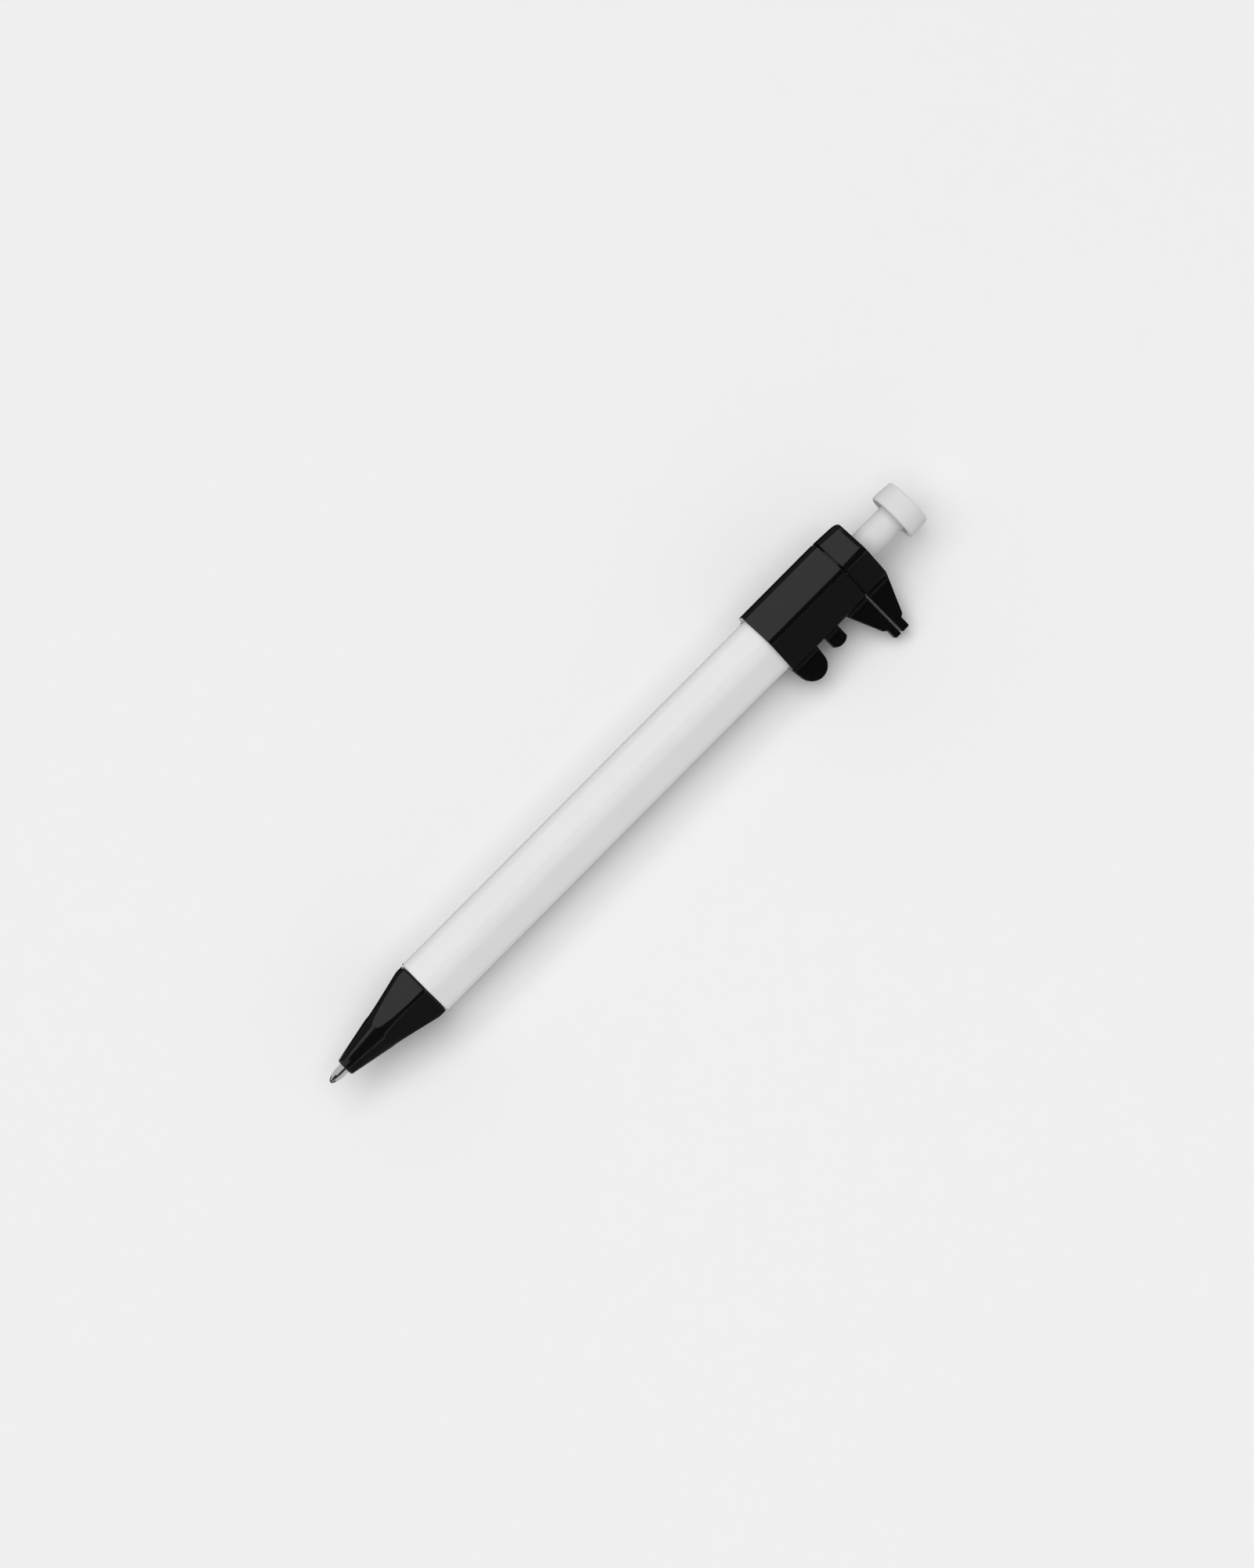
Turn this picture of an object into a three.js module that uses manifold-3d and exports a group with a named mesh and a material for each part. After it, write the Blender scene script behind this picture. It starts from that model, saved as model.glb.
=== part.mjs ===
// Ruler pen: a click ballpoint with a hexagonal barrel that is also a sliding caliper.
// Millimetres, +Z up. Along the pen, x grows from the writing ball to the push button.
// In a cross section the jaws point to -Y before the pen is rolled into its resting pose.

import * as THREE from 'three';
import { mergeVertices } from 'three/addons/utils/BufferGeometryUtils.js';
import Module from 'manifold-3d';

const wasm = await Module();
wasm.setup();

// Lengths along the pen, in the writing position
const tipReach = 3.75;
const noseLength = 20.65;
const barrelLength = 106.8;
const capNeckLength = 0.8;
const capLength = 5.45;
const rodShow = 7.95;
const buttonLength = 4.55;

// How far the button and the refill travel
const retractTravel = 5.5;
const overTravel = 1.2;

// Clearances
const seam = 0.12;
const seatGap = 0.3;
const runningFit = 0.07;
const locatingFit = 0.05;

// Barrel: hexagonal outside, round bore with a wider socket at each end
const barrelFlats = 11.9;
const barrelCorner = 2.9;
const barrelFrontChamfer = 0.35;
const barrelRearChamfer = 0.15;
const boreRadius = 4.2;
const socketRadius = 4.5;

// Nose cone
const noseFlats = 11.1;
const noseCorner = 1.0;
const nosePrismLength = 1.8;
const noseRoundLength = 9.1;
const noseEndRadius = 1.84;
const noseEdgeRadius = 0.41;
const noseBaseChamfer = 0.4;
const throatLength = 2.75;
const sleeveBoreRadius = 1.6;
const springSeatAt = 7.25;
const springBoreRadius = 2.45;
const springBoreLength = 9.0;
const spigotBoreRadius = 3.3;
const noseSpigotLength = 9.0;

// Slider: a thin hexagonal sleeve with a moving jaw and two thumb lugs
const sliderLength = 18.93;
const sliderFlats = 13.37;
const sliderCorner = 1.0;
const rimRound = 0.14;
const bigLugWidth = 6.35;
const bigLugEndWidth = 5.8;
const bigLugRise = 2.8;
const bigLugReach = 11.57;
const lugSpacing = 1.95;
const smallLugWidth = 3.4;
const smallLugEndWidth = 3.3;
const smallLugRise = 0.7;
const smallLugReach = 9.93;

// Jaws
const jawGap = 0.32;
const jawThickness = 3.0;
const jawReach = 16.07;
const jawRootLength = 5.3;
const jawShoulderLength = 2.3;
const jawTipLength = 1.65;
const jawShoulderAt = 13.6;
const jawStep = 0.4;
const jawEndChamfer = 0.3;
const movingJawExtra = -0.3;
const fixedJawExtra = 0.14;
const fixedJawFaceInset = 0.12;
const rootFillet = 0.95;

// End cap
const capCorner = 1.6;
const capDraft = 0.2;
const capBevelLength = 0.86;
const capBevelInset = 0.14;
const capEndChamfer = 0.12;
const capSpigotLength = 6.2;
const capMouthChamfer = 0.25;

// Push button and plunger rod
const rodRadius = 2.87;
const rodBoreRadius = 1.5;
const rodEndWall = 3.0;
const buttonRimRadius = 5.05;
const buttonEndRadius = 4.85;
const buttonEdgeRound = 0.5;
const buttonRimRound = 0.4;
const buttonLipWidth = 0.6;
const buttonLipDepth = 0.67;
const buttonRecessRadius = 3.93;
const buttonFloor = 1.8;
const buttonPinRadius = 1.4;
const buttonPinLength = 1.0;

// Click mechanism: a guide sleeve with slots, a turning cam and the rod's keys
const slotCount = 4;
const guideLength = 21.4;
const slotLength = 12.7;
const slotRadius = 3.9;
const slotWidth = 2.1;
const keyClearance = 0.15;
const keyLength = 3.0;
const sawDepth = 0.9;
const crownTeeth = 8;
const crownHeight = 0.8;
const finLength = 4.0;
const camRadius = 2.7;
const camNoseLength = 5.4;
const camPinLength = 4.0;
const camSocketDepth = 3.3;

// Refill
const tubeRadius = 1.5;
const tubeBoreRadius = 1.0;
const airLength = 10.0;
const followerLength = 3.0;
const holderRadius = 1.4;
const holderClear = 1.3;
const holderDuctRadius = 0.4;
const holderSpigotLength = 4.8;
const collarRadius = 2.35;
const collarLength = 1.2;
const collarAt = 5.6;
const tipRadius = 1.065;
const tipOgiveLength = 2.42;
const tipLipAt = 0.33;
const tipLipRadius = 0.56;
const tipShankRadius = 0.8;
const tipShankLength = 6.0;
const tipDuctRadius = 0.25;
const ballRadius = 0.5;
const ballPlay = 0.03;

// Return spring
const springRadius = 2.0;
const springWire = 0.38;
const springTurns = 13;
const springStepsPerTurn = 8;
const springSides = 5;

// Fineness of round shapes
const cornerSteps = 5;
const roundSteps = 4;
const flatSteps = 6;
const outlineSteps = 12;
const wideSegments = 48;
const fineSegments = 24;

// How far a cutting or joining shape runs past the face that it goes through
const past = 1;

// How much farther out a sharp corner of a hexagon lies than its flats, for each unit of apothem
const cornerRise = 2 / Math.sqrt(3) - 1;

// Stations along the pen, worked out from the lengths
const noseFront = tipReach;
const barrelFront = noseFront + noseLength;
const barrelRear = barrelFront + barrelLength;
const capFront = barrelRear + capNeckLength;
const capRear = capFront + capLength;
const buttonFront = capRear + rodShow;
const buttonRear = buttonFront + buttonLength;
const sliderRear = capFront - jawGap;
const sliderFront = sliderRear - sliderLength;
const capSpigotFront = barrelRear - capSpigotLength;
const guideRear = capSpigotFront - seatGap;
const guideFront = guideRear - guideLength;
const ribFront = guideRear - slotLength;
const finRear = ribFront - seatGap;
const camRear = finRear;
const camFront = finRear - finLength - camNoseLength;
const tubeRear = camFront + camSocketDepth - seatGap;
const rodFront = camRear + keyClearance;
const keyRear = capSpigotFront - seatGap - retractTravel;
const keyFront = keyRear - keyLength;
const rodRear = buttonRear - buttonFloor - locatingFit;
const holderFront = noseFront + throatLength + overTravel + holderClear;
const collarFront = barrelFront + collarAt;
const collarRear = collarFront + collarLength;
const holderRear = collarRear + holderSpigotLength;
const tubeFront = collarRear + locatingFit;
const springSeat = noseFront + springSeatAt;

// Half sizes that several pieces share
const facetAt = sliderFlats / 2;
const keyRadius = slotRadius - keyClearance;
const keyWidth = slotWidth - 2 * keyClearance;
const guideRadius = socketRadius - locatingFit;
const guideBoreRadius = rodRadius + keyClearance;
const tubeSocketRadius = tubeRadius + locatingFit;

// Shape X, Y and depth Z turned to run along the pen: Z becomes x, X becomes y, Y becomes z
const alongPen = new THREE.Matrix4().makeBasis(
  new THREE.Vector3(0, 1, 0),
  new THREE.Vector3(0, 0, 1),
  new THREE.Vector3(1, 0, 0),
);

// A lathe's axis Y becomes x
const latheAlongPen = new THREE.Matrix4().makeBasis(
  new THREE.Vector3(0, 0, 1),
  new THREE.Vector3(1, 0, 0),
  new THREE.Vector3(0, 1, 0),
);

// Six times the volume that the triangles enclose, negative when they face inwards
function signedVolume(position, triangles) {
  const a = new THREE.Vector3();
  const b = new THREE.Vector3();
  const c = new THREE.Vector3();
  let sum = 0;
  for (let i = 0; i < triangles.length; i += 3) {
    a.fromBufferAttribute(position, triangles[i]);
    b.fromBufferAttribute(position, triangles[i + 1]);
    c.fromBufferAttribute(position, triangles[i + 2]);
    sum += a.dot(b.cross(c));
  }
  return sum;
}

// Any closed geometry as a solid: shared points merged, flat triangles dropped, faces outwards
function solid(geometry) {
  const bare = geometry.clone();
  bare.deleteAttribute('normal');
  bare.deleteAttribute('uv');
  const merged = mergeVertices(bare, 1e-4);
  const position = merged.getAttribute('position');
  const triangles = [];
  for (let i = 0; i < merged.index.count; i += 3) {
    const [a, b, c] = [0, 1, 2].map((k) => merged.index.getX(i + k));
    if (a !== b && b !== c && c !== a) {
      triangles.push(a, b, c);
    }
  }
  if (signedVolume(position, triangles) < 0) {
    triangles.reverse();
  }
  return new wasm.Manifold(new wasm.Mesh({
    numProp: 3,
    vertProperties: new Float32Array(position.array),
    triVerts: new Uint32Array(triangles),
  }));
}

function join(first, ...others) {
  return others.reduce((whole, next) => whole.add(next), first);
}

function cut(first, ...others) {
  return others.reduce((whole, next) => whole.subtract(next), first);
}

// A solid's surface as a three.js geometry
function surfaceOf(body) {
  const mesh = body.getMesh();
  const geometry = new THREE.BufferGeometry();
  geometry.setAttribute('position', new THREE.BufferAttribute(mesh.vertProperties, 3));
  geometry.setIndex(new THREE.BufferAttribute(mesh.triVerts, 1));
  geometry.computeVertexNormals();
  return geometry;
}

// A turned solid from [x, radius] points that close on the axis or on themselves
function turned(profile, segments = wideSegments) {
  const points = profile.map(([x, radius]) => new THREE.Vector2(radius, x));
  const lathe = new THREE.LatheGeometry(points, segments);
  return solid(lathe.applyMatrix4(latheAlongPen));
}

function rod(front, rear, radius, segments = wideSegments) {
  return turned([[front, 0], [front, radius], [rear, radius], [rear, 0]], segments);
}

// A closed skin over rings of points that all have the same count
function skin(rings) {
  const count = rings[0].length;
  const positions = rings.flat().flatMap((point) => point.toArray());
  const index = [];
  for (let r = 0; r < rings.length - 1; r += 1) {
    for (let i = 0; i < count; i += 1) {
      const a = r * count + i;
      const b = r * count + (i + 1) % count;
      index.push(a, b, b + count, a, b + count, a + count);
    }
  }
  const last = (rings.length - 1) * count;
  for (let i = 1; i < count - 1; i += 1) {
    index.push(0, i + 1, i);
    index.push(last, last + i, last + i + 1);
  }
  const geometry = new THREE.BufferGeometry();
  geometry.setAttribute('position', new THREE.Float32BufferAttribute(positions, 3));
  geometry.setIndex(index);
  return geometry;
}

// One hexagonal section with round corners; a corner as large as the apothem makes it a circle
function hexRing(x, apothem, corner) {
  const centre = (apothem - corner) / Math.cos(Math.PI / 6);
  const ring = [];
  for (let k = 0; k < 6; k += 1) {
    const middle = Math.PI / 6 + k * Math.PI / 3;
    for (let s = 0; s <= cornerSteps; s += 1) {
      const turn = middle + (s / cornerSteps - 0.5) * Math.PI / 3;
      const y = centre * Math.cos(middle) + corner * Math.cos(turn);
      const z = centre * Math.sin(middle) + corner * Math.sin(turn);
      ring.push(new THREE.Vector3(x, y, z));
    }
  }
  return ring;
}

// A solid through hexagonal sections, each given as [x, apothem, corner]
function hexSolid(sections) {
  return solid(skin(sections.map(([x, apothem, corner]) => hexRing(x, apothem, corner))));
}

// Sections of a rounded rim that starts square to the pen at x and grows by direction
function rimSections(x, direction, apothem, corner, round) {
  const sections = [];
  for (let s = 0; s <= roundSteps; s += 1) {
    const turn = (s / roundSteps) * Math.PI / 2;
    const inset = round * (1 - Math.sin(turn));
    const along = round * (1 - Math.cos(turn));
    sections.push([x + direction * along, apothem - inset, corner - inset]);
  }
  return direction > 0 ? sections : sections.reverse();
}

// A flat outline in x and y, extruded upwards between two heights
function plate(outline, bottom, top) {
  const geometry = new THREE.ExtrudeGeometry(outline, {
    depth: top - bottom,
    bevelEnabled: false,
    curveSegments: outlineSteps,
  });
  return solid(geometry.translate(0, 0, bottom));
}

function outlineThrough(points) {
  return new THREE.Shape(points.map(([x, y]) => new THREE.Vector2(x, y)));
}

// The same solid repeated round the pen's axis
function around(body, count) {
  let whole = body;
  for (let k = 1; k < count; k += 1) {
    whole = whole.add(body.rotate([k * 360 / count, 0, 0]));
  }
  return whole;
}

// Keys or fins along x that stand out to a radius, with their rear ends cut to a slope
function keys(front, rear, radius, width, slope) {
  const key = outlineThrough([
    [front, -width / 2],
    [rear, -width / 2],
    [rear - slope, width / 2],
    [front, width / 2],
  ]);
  const blade = plate(key, radius / 2, radius + past);
  return around(blade, slotCount).intersect(rod(front - past, rear + past, radius));
}

// A ring of pointed teeth on a tube's end; direction says which way they point
function crown(base, direction, radius, bore) {
  const halfTooth = radius * Math.tan(Math.PI / crownTeeth);
  const root = base - direction * past;
  const tooth = outlineThrough([
    [root, -halfTooth],
    [base, -halfTooth],
    [base + direction * crownHeight, 0],
    [base, halfTooth],
    [root, halfTooth],
  ]);
  const reach = crownHeight + past;
  const ring = around(plate(tooth, bore / 2, radius + past), crownTeeth);
  const outside = rod(base - reach, base + reach, radius);
  const inside = rod(base - reach - past, base + reach + past, bore);
  return cut(ring.intersect(outside), inside);
}

// The barrel, with x from its front end
function barrelShape() {
  const apothem = barrelFlats / 2;
  const outside = hexSolid([
    [0, apothem - barrelFrontChamfer, barrelCorner - barrelFrontChamfer],
    [barrelFrontChamfer, apothem, barrelCorner],
    [barrelLength - barrelRearChamfer, apothem, barrelCorner],
    [barrelLength, apothem - barrelRearChamfer, barrelCorner - barrelRearChamfer],
  ]);
  const frontSocketEnd = noseSpigotLength + seatGap;
  const rearSocketStart = guideFront - seatGap - barrelFront;
  const bore = turned([
    [-past, 0],
    [-past, socketRadius],
    [frontSocketEnd, socketRadius],
    [frontSocketEnd, boreRadius],
    [rearSocketStart, boreRadius],
    [rearSocketStart, socketRadius],
    [barrelLength + past, socketRadius],
    [barrelLength + past, 0],
  ]);
  return cut(outside, bore);
}

// The nose cone, with x from its front end: flats at the base run out in curves into a round tip
function noseShape() {
  const apothem = noseFlats / 2;
  const base = noseLength - seam;
  const prismStart = noseLength - nosePrismLength;
  const coneStart = noseEdgeRadius;
  const slope = (apothem - noseEndRadius) / (prismStart - coneStart);
  const widest = apothem - noseCorner;
  const sections = rimSections(0, 1, noseEndRadius, noseEndRadius, noseEdgeRadius);
  for (let step = 0; step <= flatSteps; step += 1) {
    const flat = widest * step / flatSteps;
    const share = (step / flatSteps) ** 2;
    const x = noseRoundLength + share * (prismStart - noseRoundLength);
    const sunk = cornerRise * (flat - widest * share);
    const size = noseEndRadius + slope * (x - coneStart) - sunk;
    sections.push([x, size, size - flat]);
  }
  sections.push([base - noseBaseChamfer, apothem, noseCorner]);
  sections.push([base, apothem - noseBaseChamfer, noseCorner - noseBaseChamfer]);
  const spigotRear = noseLength + noseSpigotLength;
  const spigot = rod(base - past, spigotRear, socketRadius - locatingFit);
  const springBoreEnd = springSeatAt + springBoreLength;
  const bore = turned([
    [-past, 0],
    [-past, tipRadius + runningFit],
    [throatLength, tipRadius + runningFit],
    [throatLength + sleeveBoreRadius - tipRadius, sleeveBoreRadius],
    [springSeatAt, sleeveBoreRadius],
    [springSeatAt, springBoreRadius],
    [springBoreEnd, springBoreRadius],
    [springBoreEnd + spigotBoreRadius, spigotBoreRadius],
    [spigotRear + past, spigotBoreRadius],
    [spigotRear + past, 0],
  ]);
  return cut(join(hexSolid(sections), spigot), bore);
}

// Cross section of a jaw or lug seen along the pen: flat sides that flare into the facet
function flare(front, rear) {
  const half = jawThickness / 2;
  const side = new THREE.Shape();
  side.moveTo(-jawReach - past, -half);
  side.lineTo(-facetAt - rootFillet, -half);
  side.absarc(-facetAt - rootFillet, -half - rootFillet, rootFillet, Math.PI / 2, 0, true);
  side.lineTo(0, -half - rootFillet);
  side.lineTo(0, half + rootFillet);
  side.lineTo(-facetAt, half + rootFillet);
  side.absarc(-facetAt - rootFillet, half + rootFillet, rootFillet, 0, -Math.PI / 2, true);
  side.lineTo(-jawReach - past, half);
  const geometry = new THREE.ExtrudeGeometry(side, {
    depth: rear - front,
    bevelEnabled: false,
    curveSegments: roundSteps,
  });
  return solid(geometry.translate(0, 0, front).applyMatrix4(alongPen));
}

// One jaw: its measuring face lies just inside the rim, and it thickens towards its root by direction
function jawShape(rim, direction, root, faceInset, extra) {
  const face = rim + direction * faceInset;
  const outer = rim + direction * extra;
  const outline = outlineThrough([
    [face, -root],
    [outer + direction * jawRootLength, -root],
    [outer + direction * jawRootLength, -facetAt],
    [outer + direction * jawShoulderLength, -jawShoulderAt],
    [outer + direction * jawTipLength, -jawShoulderAt - jawStep],
    [outer + direction * jawTipLength, -jawReach + jawEndChamfer],
    [outer + direction * (jawTipLength - jawEndChamfer), -jawReach],
    [face, -jawReach],
  ]);
  return plate(outline, -facetAt, facetAt);
}

// A thumb lug centred at middle, whose sides draw in to a round end that rises by rise
function lugShape(middle, width, endWidth, rise, reach, root) {
  const half = width / 2;
  const endHalf = endWidth / 2;
  const radius = (endHalf * endHalf + rise * rise) / (2 * rise);
  const centre = reach - radius;
  const start = Math.atan2(radius - rise, endHalf);
  const outline = new THREE.Shape();
  outline.moveTo(middle - half, -root);
  outline.lineTo(middle + half, -root);
  outline.lineTo(middle + half, -facetAt);
  outline.lineTo(middle + endHalf, rise - reach);
  outline.absarc(middle, -centre, radius, -start, start - Math.PI, true);
  outline.lineTo(middle - half, -facetAt);
  return plate(outline, -facetAt, facetAt);
}

// The slider, with x from its front rim
function sliderShape() {
  const outside = hexSolid([
    ...rimSections(0, 1, facetAt, sliderCorner, rimRound),
    ...rimSections(sliderLength, -1, facetAt, sliderCorner, rimRound),
  ]);
  const innerApothem = barrelFlats / 2 + runningFit;
  const innerCorner = barrelCorner + runningFit;
  const inside = hexSolid([
    [-past, innerApothem, innerCorner],
    [sliderLength + past, innerApothem, innerCorner],
  ]);
  const bigLugAt = bigLugWidth / 2;
  const smallLugAt = bigLugWidth + lugSpacing + smallLugWidth / 2;
  const blades = join(
    jawShape(sliderLength, -1, innerApothem, 0, movingJawExtra),
    lugShape(bigLugAt, bigLugWidth, bigLugEndWidth, bigLugRise, bigLugReach, innerApothem),
    lugShape(smallLugAt, smallLugWidth, smallLugEndWidth, smallLugRise, smallLugReach, innerApothem),
  );
  return cut(join(outside, blades.intersect(flare(0, sliderLength))), inside);
}

// The end cap with the fixed jaw, with x from the front of its spigot
function capShape() {
  const neck = capSpigotLength;
  const shoulder = neck + capNeckLength;
  const rear = shoulder + capLength;
  const neckApothem = barrelFlats / 2 - runningFit;
  const innerApothem = barrelFlats / 2;
  const rearApothem = facetAt - capDraft;
  const rearCorner = capCorner + capDraft;
  const endApothem = rearApothem - capBevelInset;
  const endCorner = rearCorner - capBevelInset;
  const shell = hexSolid([
    ...rimSections(shoulder, 1, facetAt, capCorner, rimRound),
    [rear - capBevelLength, rearApothem, rearCorner],
    [rear - capEndChamfer, endApothem, endCorner],
    [rear, endApothem - capEndChamfer, endCorner - capEndChamfer],
  ]);
  const collar = hexSolid([
    [neck + seam, neckApothem, barrelCorner],
    [shoulder + past, neckApothem, barrelCorner],
  ]);
  const spigot = rod(0, shoulder + past, guideRadius);
  const blade = jawShape(shoulder, 1, innerApothem, fixedJawFaceInset, fixedJawExtra);
  const jaw = blade.intersect(flare(shoulder, rear));
  const mouth = rodRadius + runningFit;
  const bore = turned([
    [-past, 0],
    [-past, mouth],
    [rear - capMouthChamfer, mouth],
    [rear, mouth + capMouthChamfer],
    [rear + past, mouth + capMouthChamfer],
    [rear + past, 0],
  ]);
  return cut(join(shell, collar, spigot, jaw), bore);
}

// The plunger rod, with x from the points of its front teeth
function rodShape() {
  const length = rodRear - rodFront;
  const tubeFrontEnd = crownHeight;
  const tube = rod(tubeFrontEnd, length, rodRadius);
  const pin = rod(length - past, length + buttonPinLength, buttonPinRadius);
  const bore = rod(tubeFrontEnd - past, length - rodEndWall, rodBoreRadius);
  const keyRing = keys(keyFront - rodFront, keyRear - rodFront, keyRadius, keyWidth, 0);
  const body = cut(join(tube, keyRing, pin), bore);
  return join(body, crown(tubeFrontEnd, -1, rodRadius, rodBoreRadius));
}

// The push button, a shallow cup whose mouth faces the cap, with x from its rim
function buttonShape() {
  const profile = [
    [buttonLipDepth, buttonRecessRadius],
    [0, buttonRecessRadius + buttonLipWidth],
  ];
  for (let s = 0; s <= roundSteps; s += 1) {
    const turn = (s / roundSteps) * Math.PI / 2;
    const along = buttonRimRound * (1 - Math.cos(turn));
    profile.push([along, buttonRimRadius - buttonRimRound * (1 - Math.sin(turn))]);
  }
  for (let s = 0; s <= roundSteps; s += 1) {
    const turn = (s / roundSteps) * Math.PI / 2;
    const along = buttonLength - buttonEdgeRound * (1 - Math.sin(turn));
    profile.push([along, buttonEndRadius - buttonEdgeRound * (1 - Math.cos(turn))]);
  }
  const floor = buttonLength - buttonFloor;
  const pinHole = buttonPinRadius + locatingFit;
  profile.push([buttonLength, 0]);
  profile.push([floor + buttonPinLength + locatingFit, 0]);
  profile.push([floor + buttonPinLength + locatingFit, pinHole]);
  profile.push([floor, pinHole]);
  profile.push([floor, buttonRecessRadius]);
  profile.push([buttonLipDepth, buttonRecessRadius]);
  return turned(profile);
}

// The guide sleeve, with x from its front end: plain in front, slotted behind
function guideShape() {
  const ribs = guideLength - slotLength;
  const sleeve = rod(0, guideLength, guideRadius);
  const chamber = rod(-past, ribs, slotRadius);
  const bore = rod(-past, guideLength + past, guideBoreRadius);
  const slot = outlineThrough([
    [ribs - past, -slotWidth / 2],
    [guideLength + past, -slotWidth / 2],
    [guideLength + past, slotWidth / 2],
    [ribs - past, slotWidth / 2],
  ]);
  const reach = rod(ribs - 2 * past, guideLength + 2 * past, slotRadius);
  const slots = around(plate(slot, slotRadius / 2, slotRadius + past), slotCount).intersect(reach);
  const halfRib = slotRadius * Math.sin(Math.PI / slotCount);
  const wedge = outlineThrough([
    [ribs - past, -halfRib],
    [ribs, -halfRib],
    [ribs + sawDepth, halfRib - slotWidth / 2],
    [ribs - past, halfRib - slotWidth / 2],
  ]);
  const saw = around(plate(wedge, slotRadius / 2, slotRadius + past), slotCount);
  const sawTeeth = saw.rotate([180 / slotCount, 0, 0]).intersect(reach);
  return cut(sleeve, chamber, bore, slots, sawTeeth);
}

// The turning cam, with x from its front end: it holds the tube and has fins and a pin
function camShape() {
  const length = camRear - camFront;
  const body = rod(0, length - crownHeight, camRadius);
  const fins = keys(length - finLength, length, keyRadius, keyWidth, crownHeight);
  const pin = rod(camSocketDepth + past, length + camPinLength, rodBoreRadius - runningFit);
  const teeth = crown(length - crownHeight, 1, camRadius, rodBoreRadius);
  const socket = rod(-past, camSocketDepth, tubeSocketRadius);
  return cut(join(body, fins, teeth, pin), socket);
}

// The ink tube, with x from its front end
function tubeShape() {
  const length = tubeRear - tubeFront;
  return turned([
    [0, tubeBoreRadius],
    [0, tubeRadius],
    [length, tubeRadius],
    [length, tubeBoreRadius],
    [0, tubeBoreRadius],
  ], fineSegments);
}

// Ink or follower grease, a plug that fills the tube's bore
function plugShape(length) {
  return rod(0, length, tubeBoreRadius - locatingFit, fineSegments);
}

// The tip holder, with x from its front end: it carries the metal tip and the spring's collar
function holderShape() {
  const collarStart = collarFront - holderFront;
  const collarEnd = collarRear - holderFront;
  const length = holderRear - holderFront;
  const shankRadius = tipShankRadius + locatingFit;
  const spigotRadius = tubeBoreRadius - locatingFit;
  return turned([
    [0, shankRadius],
    [0, holderRadius],
    [collarStart, holderRadius],
    [collarStart, collarRadius],
    [collarEnd, collarRadius],
    [collarEnd, spigotRadius],
    [length, spigotRadius],
    [length, holderDuctRadius],
    [tipShankLength + locatingFit, holderDuctRadius],
    [tipShankLength + locatingFit, shankRadius],
    [0, shankRadius],
  ], fineSegments);
}

// The metal writing tip, with x from the ball's outer end
function tipShape() {
  const socket = ballRadius + ballPlay;
  const lipTurn = Math.acos((ballRadius - tipLipAt) / socket);
  const ductTurn = Math.PI - Math.asin(tipDuctRadius / socket);
  const ogive = new THREE.QuadraticBezierCurve(
    new THREE.Vector2(tipLipAt, tipLipRadius),
    new THREE.Vector2(tipLipAt + tipOgiveLength / 2, tipRadius),
    new THREE.Vector2(tipLipAt + tipOgiveLength, tipRadius),
  );
  const outside = ogive.getPoints(2 * roundSteps).map((point) => [point.x, point.y]);
  const shankFront = holderFront - locatingFit;
  const shankRear = holderFront + tipShankLength;
  const inside = [];
  for (let s = 0; s <= 2 * roundSteps; s += 1) {
    const turn = ductTurn + (lipTurn - ductTurn) * s / (2 * roundSteps);
    inside.push([ballRadius - socket * Math.cos(turn), socket * Math.sin(turn)]);
  }
  return turned([
    ...outside,
    [shankFront, tipRadius],
    [shankFront, tipShankRadius],
    [shankRear, tipShankRadius],
    [shankRear, tipDuctRadius],
    ...inside,
    outside[0],
  ], fineSegments);
}

function ballShape() {
  return solid(new THREE.SphereGeometry(ballRadius, 16, 10).rotateZ(Math.PI / 2));
}

// The return spring as one unbroken wire, with x from its front end
function springShape(length) {
  const steps = springTurns * springStepsPerTurn;
  const travel = length - springWire;
  const pitch = travel / springTurns;
  const rings = [];
  const middles = [];
  for (let i = 0; i <= steps; i += 1) {
    const turn = (i / springStepsPerTurn) * 2 * Math.PI;
    const out = new THREE.Vector3(0, Math.cos(turn), Math.sin(turn));
    const middle = out.clone().multiplyScalar(springRadius).setX(springWire / 2 + travel * i / steps);
    const along = new THREE.Vector3(
      pitch / (2 * Math.PI),
      -springRadius * Math.sin(turn),
      springRadius * Math.cos(turn),
    ).normalize();
    const side = new THREE.Vector3().crossVectors(along, out);
    const ring = [];
    for (let k = 0; k < springSides; k += 1) {
      const angle = (k / springSides) * 2 * Math.PI;
      const offset = out.clone().multiplyScalar(Math.cos(angle)).addScaledVector(side, Math.sin(angle));
      ring.push(middle.clone().addScaledVector(offset, springWire / 2));
    }
    middles.push(middle);
    rings.push(ring);
  }
  let least = Infinity;
  for (let i = springStepsPerTurn / 2; i < middles.length; i += 1) {
    for (let j = 0; j <= i - springStepsPerTurn / 2; j += 1) {
      least = Math.min(least, middles[i].distanceTo(middles[j]) - springWire);
    }
  }
  console.log(`return spring: least gap between turns ${least.toFixed(2)} mm`);
  return solid(skin(rings));
}

const whiteAbs = { color: 0xe6e6e6, roughness: 0.35, metalness: 0 };
const blackAbs = { color: 0x1c1b1b, roughness: 0.25, metalness: 0 };
const buttonWhite = { color: 0xd9d9d9, roughness: 0.4, metalness: 0 };
const acetal = { color: 0xd8d6cf, roughness: 0.5, metalness: 0 };
const polypropylene = { color: 0xdfe3e6, roughness: 0.35, metalness: 0 };
const inkBlack = { color: 0x0a0a12, roughness: 0.2, metalness: 0 };
const grease = { color: 0xd9cf9a, roughness: 0.3, metalness: 0 };
const nickelSilver = { color: 0xb4b1aa, roughness: 0.25, metalness: 1 };
const carbide = { color: 0x55565a, roughness: 0.2, metalness: 1 };
const springSteel = { color: 0xa7a9ac, roughness: 0.3, metalness: 1 };

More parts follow.
